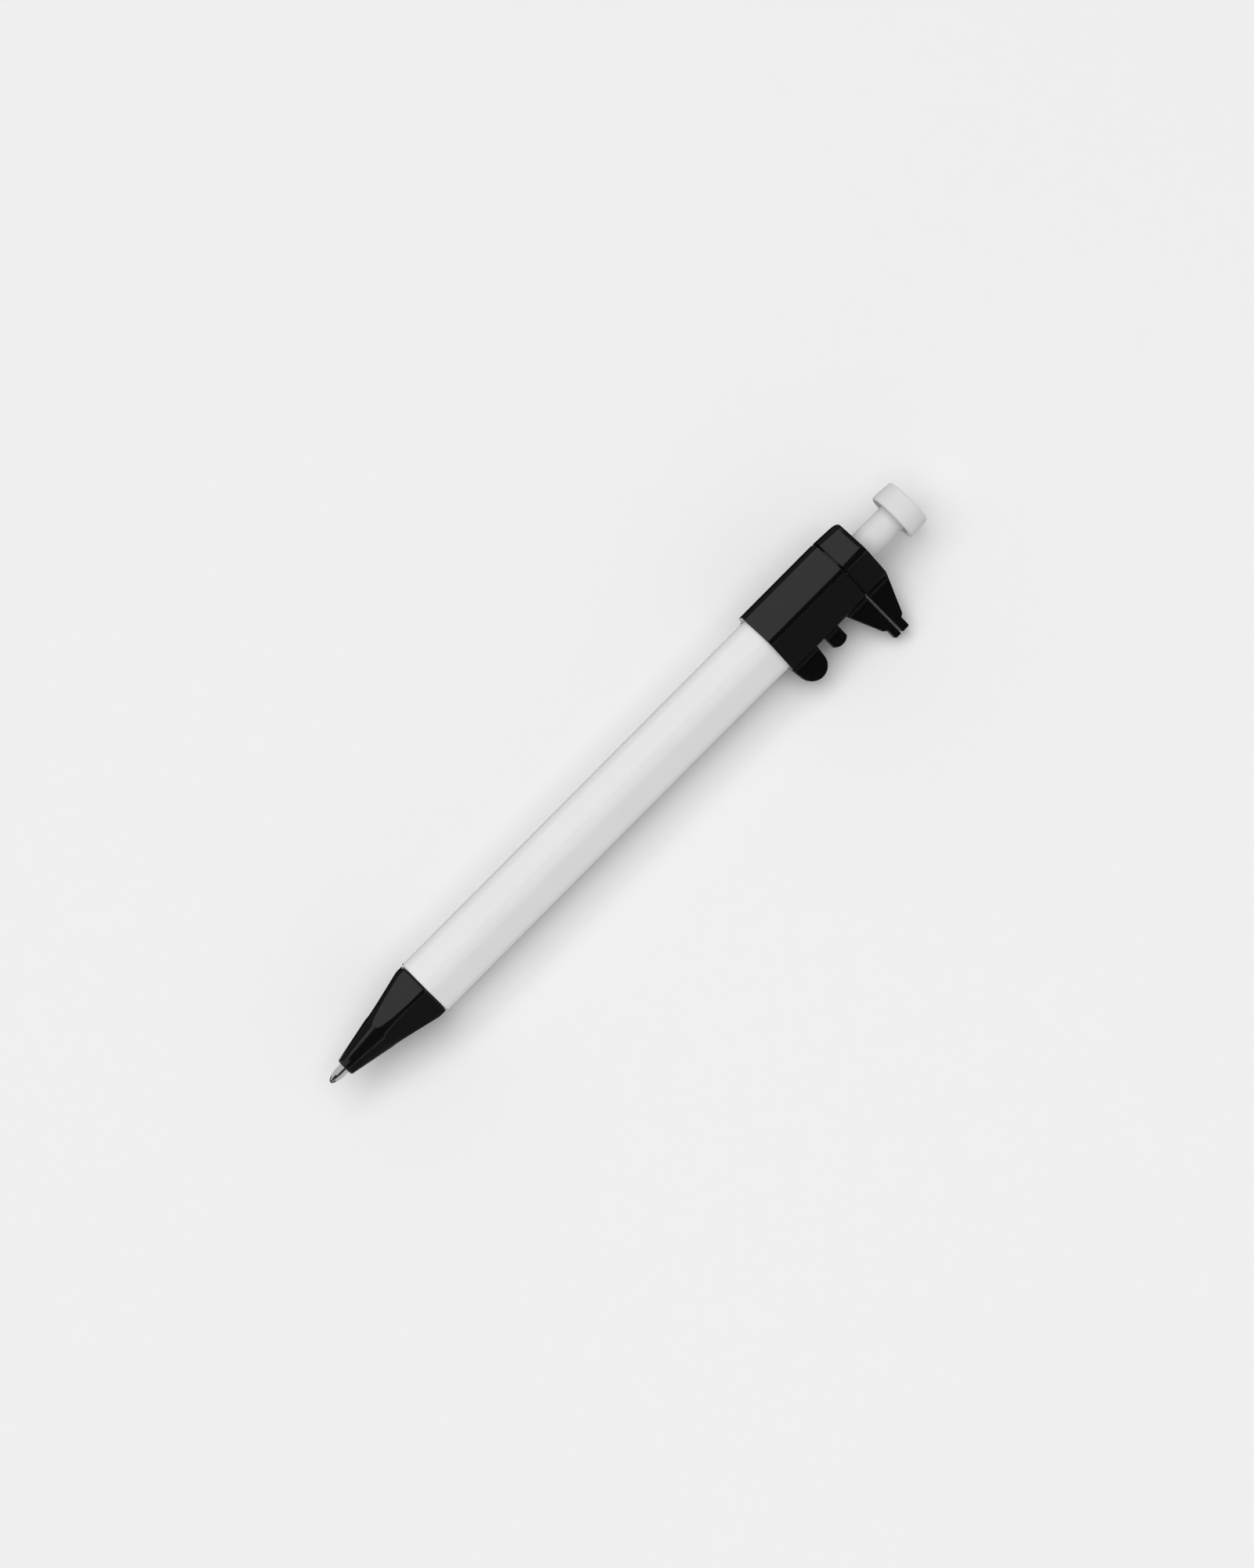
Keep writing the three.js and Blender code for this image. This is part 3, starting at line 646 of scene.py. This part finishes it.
def make_slider():
    """Black sleeve with the moving jaw and the two thumb lugs."""
    front, rear = along("slider")
    rings = rim_rings(front, 1, facet_at, SLIDER_SOFT_CORNER, RIM_ROUND)
    rings += rim_rings(rear, -1, facet_at, SLIDER_SOFT_CORNER, RIM_ROUND)[::-1]
    inner, inner_corner = BARREL_FLATS / 2 + FIT, BARREL_CORNER + FIT
    rings += [hex_ring(rear, inner, inner_corner), hex_ring(front, inner, inner_corner)]
    sleeve = loft("slider_sleeve", rings, closed=True)
    big, big_end, big_rise, big_reach = 6.35 * MM, 5.8 * MM, 2.8 * MM, 11.57 * MM
    small, small_end, small_rise, small_reach = 3.4 * MM, 3.3 * MM, 0.7 * MM, 9.93 * MM
    spacing = 1.95 * MM
    small_middle = front + big + spacing + small / 2
    blades = make_jaw("moving_jaw", rear, -1, 0.0, MOVING_JAW_BACK_INSET)
    blades += make_lug("big_lug", front + big / 2, big, big_end, big_rise, big_reach)
    blades += make_lug("small_lug", small_middle, small, small_end, small_rise, small_reach)
    join_solids(sleeve, blades)
    return finish_piece(sleeve, "slider", black_abs, ["slider"])


def make_cap():
    """Black end cap with the fixed jaw, the rod's bore, a neck and a spigot in the barrel."""
    spigot_front, rear = along("end_cap")
    shoulder = rear - CAP_LENGTH
    neck = shoulder - CAP_NECK + SEAM
    mouth, lead = ROD + FIT, 0.25 * MM
    rings = rim_rings(shoulder, 1, facet_at, CAP_CORNER, RIM_ROUND)
    rear_apothem, rear_corner = facet_at - CAP_DRAFT, CAP_CORNER + CAP_DRAFT
    soft = 0.06 * MM
    for x, inset in (
        (rear - CAP_BEVEL - soft, 0),
        (rear - CAP_BEVEL + soft, soft * CAP_BEVEL_INSET / CAP_BEVEL),
    ):
        rings.append(hex_ring(x, rear_apothem - inset, rear_corner - inset))
    end_apothem, end_corner = rear_apothem - CAP_BEVEL_INSET, rear_corner - CAP_BEVEL_INSET
    rings += rim_rings(rear, -1, end_apothem, end_corner, CAP_END_ROUND)[::-1]
    rings += [
        circle_ring(rear, mouth + lead),
        circle_ring(rear - lead, mouth),
        circle_ring(spigot_front, mouth),
        circle_ring(spigot_front, SOCKET - SNUG),
        circle_ring(neck, SOCKET - SNUG),
        hex_ring(neck, BARREL_FLATS / 2 - FIT, BARREL_CORNER),
        hex_ring(shoulder, BARREL_FLATS / 2 - FIT, BARREL_CORNER),
    ]
    cap = loft("end_cap_shell", rings, closed=True)
    jaw = make_jaw("fixed_jaw", shoulder, 1, FIXED_JAW_FACE_INSET, FIXED_JAW_BACK_INSET)
    join_solids(cap, jaw)
    return finish_piece(cap, "housing", black_abs, ["end_cap"])


def make_rod():
    """White plunger rod with four keys inside the guide and a pin for the button."""
    front, rear = along("plunger_rod")
    pin_radius, pin_length = 1.4 * MM, 1.0 * MM
    shoulder = rear - pin_length
    wall, bevel = 3 * MM, 0.1 * MM
    tube = lathe("rod_tube", [
        (shoulder - wall, 0),
        (shoulder - wall, ROD_BORE),
        (front, ROD_BORE),
        (front, ROD),
        (shoulder - bevel, ROD),
        (shoulder, ROD - bevel),
        (shoulder, pin_radius),
        (rear, pin_radius),
        (rear, 0),
    ])
    key_rear = along("end_cap")[0] - KEY_GAP
    key_foot = ROD - SUNK_ROOT
    section = (
        (key_foot, -KEY_HALF_WIDTH), (KEY_REACH, -KEY_HALF_WIDTH),
        (KEY_REACH, KEY_HALF_WIDTH), (key_foot, KEY_HALF_WIDTH),
    )
    keys = []
    for quarter_turn in range(4):
        turned = Matrix.Rotation(quarter_turn * pi / 2, 4, "X")
        outline = [turned @ Vector((0, y, z)) for y, z in section]
        ends = [[point + Vector((x, 0, 0)) for point in outline] for x in (key_rear - KEY_LENGTH, key_rear)]
        keys.append(loft(f"key_{quarter_turn}", ends))
    join_solids(tube, keys)
    return finish_piece(tube, "plunger", button_abs, ["plunger_rod"])


def make_button():
    """White push button: a shallow cup over the rod's end, slightly smaller at its top."""
    front, rear = along("push_button")
    rim_edge, end_edge = 0.4 * MM, 0.5 * MM
    lip_width, lip_depth = 0.6 * MM, 0.67 * MM
    pin, pin_depth = 1.45 * MM, 1.05 * MM
    floor, bevel = rear - BUTTON_FLOOR, 0.3 * MM
    profile = [(floor + pin_depth, 0), (floor + pin_depth, pin), (floor, pin)]
    profile += [(floor, BUTTON_RECESS - bevel), (floor - bevel, BUTTON_RECESS)]
    for s in range(2 * EDGE_STEPS + 1):
        turn = s / (2 * EDGE_STEPS) * pi / 2
        inner_radius = BUTTON_RECESS + lip_width * (1 - cos(turn))
        profile.append((front + lip_depth * (1 - sin(turn)), inner_radius))
    profile += quarter(front + rim_edge, BUTTON_RIM - rim_edge, rim_edge, 2, 1)
    profile += quarter(rear - end_edge, BUTTON_END - end_edge, end_edge, 1, 0)
    profile += [(rear, 0)]
    cup = lathe("button_cup", profile)
    return finish_piece(cup, "plunger", button_abs, ["push_button"])


def make_tip():
    """Turned metal tip: an ogive that holds the ball, and a shank in the tip holder."""
    ball_end = along("tip_ball")[0]
    rear = along("writing_tip")[1]
    shank_front = rear - TIP_SHANK_LENGTH - SNUG
    lip_x = ball_end + TIP_LIP_AT
    profile = []
    for s in range(TIP_STEPS + 1):
        t = s / TIP_STEPS
        profile.append((lip_x + TIP_OGIVE * t, TIP_LIP + (TIP_RADIUS - TIP_LIP) * (2 * t - t * t)))
    land, bevel = 0.08 * MM, 0.05 * MM
    profile += [(lip_x + TIP_OGIVE + land, TIP_RADIUS), (shank_front - bevel, TIP_RADIUS)]
    profile += [(shank_front, TIP_RADIUS - bevel), (shank_front, TIP_SHANK)]
    profile += [(rear, TIP_SHANK), (rear, TIP_DUCT)]
    socket = BALL + BALL_PLAY
    lip_turn = acos((BALL - TIP_LIP_AT) / socket)
    duct_turn = pi - asin(TIP_DUCT / socket)
    for s in range(TIP_STEPS + 1):
        turn = duct_turn + (lip_turn - duct_turn) * s / TIP_STEPS
        profile.append((ball_end + BALL - socket * cos(turn), socket * sin(turn)))
    tip = lathe("metal_tip", profile)
    return finish_piece(tip, "refill", nickel_silver, ["writing_tip"])


def make_ball():
    """The carbide writing ball."""
    centre = along("tip_ball")[0] + BALL
    turns = [s / BALL_STEPS * pi for s in range(BALL_STEPS + 1)]
    profile = [(centre - BALL * cos(turn), BALL * abs(sin(turn))) for turn in turns]
    profile[0] = (centre - BALL, 0)
    ball = lathe("writing_ball", profile, BALL_SEGMENTS)
    return finish_piece(ball, "ball", carbide, ["tip_ball"])


def make_spring():
    """The return spring as one round wire, held by the nose at its front and the refill behind."""
    front, rear = along("return_spring")
    steps_per_turn, sides = 32, 10
    steps = SPRING_TURNS * steps_per_turn
    start, travel = front + SPRING_WIRE / 2, rear - front - SPRING_WIRE
    pitch = travel / SPRING_TURNS
    rings = []
    for i in range(steps + 1):
        turn = i / steps_per_turn * 2 * pi
        out = Vector((0, cos(turn), sin(turn)))
        middle = out * SPRING_RADIUS + Vector((start + travel * i / steps, 0, 0))
        forward = Vector((pitch / (2 * pi), -SPRING_RADIUS * sin(turn), SPRING_RADIUS * cos(turn)))
        side = forward.normalized().cross(out)
        angles = [k / sides * 2 * pi for k in range(sides)]
        rings.append([middle + (out * cos(a) + side * sin(a)) * (SPRING_WIRE / 2) for a in angles])
    spring = finish_piece(loft("spring_wire", rings), None, spring_steel, ["return_spring"])
    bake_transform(spring)
    return spring


# Printed scales on the two facets at the back

def graduation_tree():
    """Geometry Nodes: a row of printed lines, of three lengths at set intervals."""
    tree = bpy.data.node_groups.new("graduations", "GeometryNodeTree")
    face = tree.interface
    face.new_socket("Geometry", in_out="OUTPUT", socket_type="NodeSocketGeometry")
    for name, kind in (
        ("Count", "Int"), ("Pitch", "Float"), ("Line Width", "Float"), ("Film", "Float"),
        ("Short", "Float"), ("Medium", "Float"), ("Long", "Float"),
        ("Medium Every", "Int"), ("Long Every", "Int"), ("Ink", "Material"),
    ):
        face.new_socket(name, in_out="INPUT", socket_type=f"NodeSocket{kind}")
    given = node(tree, "NodeGroupInput").outputs
    step = node(tree, "ShaderNodeCombineXYZ", X=given["Pitch"])
    row = node(
        tree, "GeometryNodeMeshLine", {"mode": "OFFSET"},
        Count=given["Count"], Offset=step.outputs[0],
    )
    index = node(tree, "GeometryNodeInputIndex").outputs[0]

    def on_every(number, near, far):
        """The near length on every line whose number divides, the far length elsewhere."""
        rest = node(tree, "ShaderNodeMath", {"operation": "MODULO"}, i0=index, i1=number).outputs[0]
        hit = node(tree, "ShaderNodeMath", {"operation": "LESS_THAN"}, i0=rest, i1=0.5).outputs[0]
        return node(tree, "GeometryNodeSwitch", {"input_type": "FLOAT"}, i0=hit, i1=far, i2=near)

    medium = on_every(given["Medium Every"], given["Medium"], given["Short"])
    length = on_every(given["Long Every"], given["Long"], medium.outputs[0])
    size = node(
        tree, "ShaderNodeCombineXYZ",
        X=given["Line Width"], Y=length.outputs[0], Z=given["Film"],
    )
    unit = node(tree, "GeometryNodeMeshCube", Size=(1, 1, 1))
    seated = node(tree, "GeometryNodeTransform", Geometry=unit.outputs[0], Translation=(0, 0.5, 0.5))
    lines = node(
        tree, "GeometryNodeInstanceOnPoints",
        Points=row.outputs[0], Instance=seated.outputs[0], Scale=size.outputs[0],
    )
    real = node(tree, "GeometryNodeRealizeInstances", Geometry=lines.outputs[0])
    inked = node(tree, "GeometryNodeSetMaterial", Geometry=real.outputs[0], Material=given["Ink"])
    node(tree, "NodeGroupOutput", Geometry=inked.outputs[0])
    return tree


def graduations(tree, name, settings):
    """A plain mesh of one row of graduations, from values by input name."""
    carrier = bpy.data.objects.new(name, bpy.data.meshes.new(name))
    bpy.context.scene.collection.objects.link(carrier)
    grow = carrier.modifiers.new("graduations", "NODES")
    grow.node_group = tree
    sockets = {item.name: item.identifier for item in tree.interface.items_tree if item.in_out == "INPUT"}
    for key, value in settings.items():
        grow[sockets[key]] = value
    graph = bpy.context.evaluated_depsgraph_get()
    mesh = bpy.data.meshes.new_from_object(carrier.evaluated_get(graph))
    bpy.data.objects.remove(carrier)
    return mesh


def label(text, x, y, height, film):
    """A printed numeral or unit as a plain mesh, centred at x with its foot at y."""
    curve = bpy.data.curves.new("label", "FONT")
    curve.body = text
    curve.size = height
    curve.align_x = "CENTER"
    curve.extrude = film / 2
    curve.resolution_u = 4
    carrier = bpy.data.objects.new("label", curve)
    bpy.context.scene.collection.objects.link(carrier)
    graph = bpy.context.evaluated_depsgraph_get()
    mesh = bpy.data.meshes.new_from_object(carrier.evaluated_get(graph))
    mesh.transform(Matrix.Translation((x, y, film / 2)))
    bpy.data.objects.remove(carrier)
    return mesh


def printed_scale(name, facet_turn, tree, pitch, medium_every, long_every, per_number, unit_name):
    """A scale on one facet, from zero at the slider's front rim towards the nose."""
    zero, margin = along("slider")[0], 2.5 * MM
    room = zero - along("barrel")[0] - margin
    film, above_flat = 0.012 * MM, 0.001 * MM
    foot, number_foot = -2.05 * MM, 0.45 * MM
    short, medium, long = 1.05 * MM, 1.5 * MM, 2.0 * MM
    line_width, number_height = 0.16 * MM, 1.9 * MM
    unit_height, unit_beyond = 1.5 * MM, 3.2 * MM
    count = int(room / pitch) + 1
    last_number = int((count - 1) / per_number)
    meshes = [graduations(tree, name, {
        "Count": count, "Pitch": pitch, "Line Width": line_width, "Film": film,
        "Short": short, "Medium": medium, "Long": long,
        "Medium Every": medium_every, "Long Every": long_every, "Ink": print_ink,
    })]
    meshes[0].transform(Matrix.Translation((0, foot, 0)))
    for number in range(1, last_number + 1):
        meshes.append(label(str(number), number * per_number * pitch, number_foot, number_height, film))
    last = last_number * per_number * pitch
    meshes.append(label(unit_name, last + unit_beyond, number_foot, unit_height, film))
    whole = bmesh.new()
    for mesh in meshes:
        whole.from_mesh(mesh)
    bmesh.ops.remove_doubles(whole, verts=whole.verts, dist=PRINT_MERGE_WITHIN)
    joined = bpy.data.meshes.new(name)
    whole.to_mesh(joined)
    whole.free()
    piece = bpy.data.objects.new(name, joined)
    bpy.context.scene.collection.objects.link(piece)
    turn = radians(facet_turn)
    out = Vector((0, cos(turn), sin(turn)))
    reading = Vector((-1, 0, 0))
    up = out.cross(reading)
    facing = Matrix((reading, up, out)).transposed().to_4x4()
    on_facet = Matrix.Translation(Vector((zero, 0, 0)) + out * (BARREL_FLATS / 2 + above_flat))
    return finish_piece(piece, "housing", print_ink, place=pen_place @ on_facet @ facing)


# The photograph's view: above the pen, which runs to the upper right with its jaws to the lower right

def make_camera():
    """A long lens from above the pen's front half, a little on the jaws' side.

    pixels_per_mm counts the pixels of a frame whose long side is long_side.
    """
    distance = 1000 * MM
    pixels_per_mm = 6.99
    long_side = 2000
    sensor = 36.0
    across_from_jaws = radians(94)
    above_x = -36.2 * MM
    look_at_x = 1.73 * MM
    image_angle = radians(45.15)
    turn = pi - across_from_jaws + roll
    camera_data = bpy.data.cameras.new("camera")
    camera = bpy.data.objects.new("camera", camera_data)
    bpy.context.scene.collection.objects.link(camera)
    target = Vector((look_at_x, axis_y, axis_z))
    place = Vector((above_x, axis_y + distance * cos(turn), axis_z + distance * sin(turn)))
    back = (place - target).normalized()
    pen = Vector((1, 0, 0))
    pen_seen = (pen - back * pen.dot(back)).normalized()
    jaws_seen = pen_seen.cross(back)
    right = pen_seen * cos(image_angle) + jaws_seen * sin(image_angle)
    up = pen_seen * sin(image_angle) - jaws_seen * cos(image_angle)
    camera.matrix_world = Matrix.Translation(place) @ Matrix((right, up, back)).transposed().to_4x4()
    camera_data.sensor_width = sensor
    camera_data.lens = sensor * distance / MM * pixels_per_mm / long_side
    camera_data.clip_start = 0.01
    camera_data.clip_end = 20
    bpy.context.scene.camera = camera


def make_stage():
    """A pale floor that curves up into a pale wall all round."""
    radius, rise, sweep = 2.2, 1.6, 0.7
    middle, sweep_steps, segments = 0.02, 12, 96
    profile = [(middle, 0.0), (radius - sweep, 0.0)]
    for s in range(1, sweep_steps + 1):
        turn = s / sweep_steps * pi / 2
        profile.append((radius - sweep + sweep * sin(turn), sweep * (1 - cos(turn))))
    profile.append((radius, rise))
    turns = [i / segments * 2 * pi for i in range(segments)]
    points, faces = [], []
    for r, z in profile:
        points += [Vector((r * cos(t), r * sin(t), z)) for t in turns]
    for row in range(len(profile) - 1):
        here, there = row * segments, (row + 1) * segments
        for i in range(segments):
            j = (i + 1) % segments
            faces.append((here + i, here + j, there + j, there + i))
    faces.append(tuple(range(segments))[::-1])
    mesh = bpy.data.meshes.new("pale_floor")
    mesh.from_pydata(points, [], faces)
    mesh.shade_smooth()
    floor = bpy.data.objects.new("pale_floor", mesh)
    bpy.context.scene.collection.objects.link(floor)
    # Matt paper: a pale, even ground with almost no sheen
    paper, _, surface, _ = finish_material(
        "pale_paper", ("#f0f0f0", "#f3f3f3"), (0.75, 0.9), mottle=0.002, haze=0.01, IOR=1.45,
    )
    surface.inputs["Specular IOR Level"].default_value = 0.1
    mesh.materials.append(paper)


def soft_lamp(name, place, size, power, seen_in_gloss=True):
    """A lamp in metres and watts with its long side along the pen, tilted to face the pen's axis."""
    data = bpy.data.lights.new(name, "AREA")
    data.shape = "RECTANGLE"
    data.size, data.size_y = size
    data.energy = power
    lamp = bpy.data.objects.new(name, data)
    lamp.location = place
    lamp.rotation_euler = (atan2(-place[1], place[2]), 0, 0)
    lamp.visible_glossy = seen_in_gloss
    bpy.context.scene.collection.objects.link(lamp)


def card_cloth(name, shade):
    """An even glow of one tone that paints a reflection into glossy surfaces; it is no lamp."""
    material = bpy.data.materials.new(name)
    material.use_nodes = True
    tree = material.node_tree
    tree.nodes.clear()
    glow = node(tree, "ShaderNodeEmission", Color=linear(shade), Strength=1.0)
    node(tree, "ShaderNodeOutputMaterial", Surface=glow.outputs[0])
    return material


def card(name, left, right, bend, material):
    """A glowing sheet along the pen, bent through (y, z) points, which only glossy surfaces see: a painted
    reflection.
    """
    points = [(x, y, z) for y, z in bend for x in (left, right)]
    mesh = bpy.data.meshes.new(name)
    mesh.from_pydata(points, [], [(i, i + 1, i + 3, i + 2) for i in range(0, 2 * len(bend) - 2, 2)])
    mesh.materials.append(material)
    sheet = bpy.data.objects.new(name, mesh)
    bpy.context.scene.collection.objects.link(sheet)
    for sight in ("camera", "diffuse", "transmission", "volume_scatter", "shadow"):
        setattr(sheet, "visible_" + sight, False)


def make_cards():
    """Glowing sheets beside the pen that only glossy surfaces see, as painted reflections: wide grey, small
    black, pale by the tip.

    The wide ones lie just above the floor and rise at the walls, and the small ones lie above them.
    """
    # Painted reflections: glowing grey, black and pale sheets that make the pen's glossy faces look darker
    # or brighter.
    grey = card_cloth("grey_reflection_glow", "#606060")
    black = card_cloth("black_reflection_glow", "#161616")
    pale = card_cloth("pale_reflection_glow", "#c0c0c0")
    low, wall, left_end, right_end = 0.6 * MM, 0.5, -1.0, 1.2
    back_from, back_top = 16.5 * MM, 0.4
    front_from, front_top = -1.0 * MM, 0.25
    card("back_reflection_sheet", left_end, right_end, [(back_from, low), (wall, low), (wall, back_top)], grey)
    card("front_reflection_sheet", left_end, right_end, [(front_from, low), (-wall, low), (-wall, front_top)], grey)
    slider_front, button_rear = along("slider")[0], along("push_button")[1]
    nose_front, nose_rear = along("nose_cone")[0], along("barrel")[0]
    black_bend = [(5.0 * MM, 2 * low), (30.0 * MM, 2 * low)]
    card("slider_reflection_sheet", slider_front, button_rear, black_bend, black)
    card("nose_reflection_sheet", nose_front, nose_rear, black_bend, black)
    tip_front, aside, over = along("tip_ball")[0], 2.4 * MM, -1.2 * MM
    back_top, front_top = axis_z + 5.5 * MM, axis_z + 1.7 * MM
    card("tip_back_reflection_sheet", tip_front, nose_front, [
        (axis_y + aside, 2 * low), (axis_y + aside, back_top), (axis_y + over, back_top),
    ], pale)
    card("tip_front_reflection_sheet", tip_front, nose_front, [
        (axis_y - aside, 2 * low), (axis_y - aside, front_top),
    ], pale)


def make_light():
    """A softbox behind the pen, even light from above and in front, and a dim grey studio."""
    soft_lamp("softbox", (-0.35, 0.8, 1.05), (1.9, 0.5), 2.2)
    soft_lamp("top_fill", (0.0, 0.0, 1.5), (2.4, 2.4), 28.5, seen_in_gloss=False)
    soft_lamp("front_fill", (0.0, -1.1, 0.9), (2.0, 1.2), 2.2, seen_in_gloss=False)
    world = bpy.data.worlds.new("studio")
    bpy.context.scene.world = world
    world.use_nodes = True
    background = world.node_tree.nodes["Background"]
    background.inputs["Color"].default_value = linear("#303030")
    background.inputs["Strength"].default_value = 1.0


def dress_inner_pieces():
    """Construction nodes inside the pen that keep their shape and get their finish."""
    finishes = {
        "cam_guide": acetal,
        "cam_rotor": acetal,
        "ink_tube": polypropylene,
        "tip_holder": polypropylene,
        "ink_column": ballpoint_ink,
        "ink_follower": follower_grease,
    }
    for name, material in finishes.items():
        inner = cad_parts[name]
        for slot in inner.material_slots:
            slot.material = material


bpy.context.scene.view_settings.view_transform = "Standard"
make_camera()
make_stage()
make_cards()
make_light()
make_barrel()
make_nose()
make_slider()
make_cap()
make_rod()
make_button()
make_tip()
make_ball()
make_spring()
dress_inner_pieces()
scale_tree = graduation_tree()
printed_scale("metric_scale", METRIC_FACET, scale_tree, 1.0 * MM, 5, 10, 10, "cm")
printed_scale("inch_scale", INCH_FACET, scale_tree, INCH / 16, 4, 16, 16, "in")
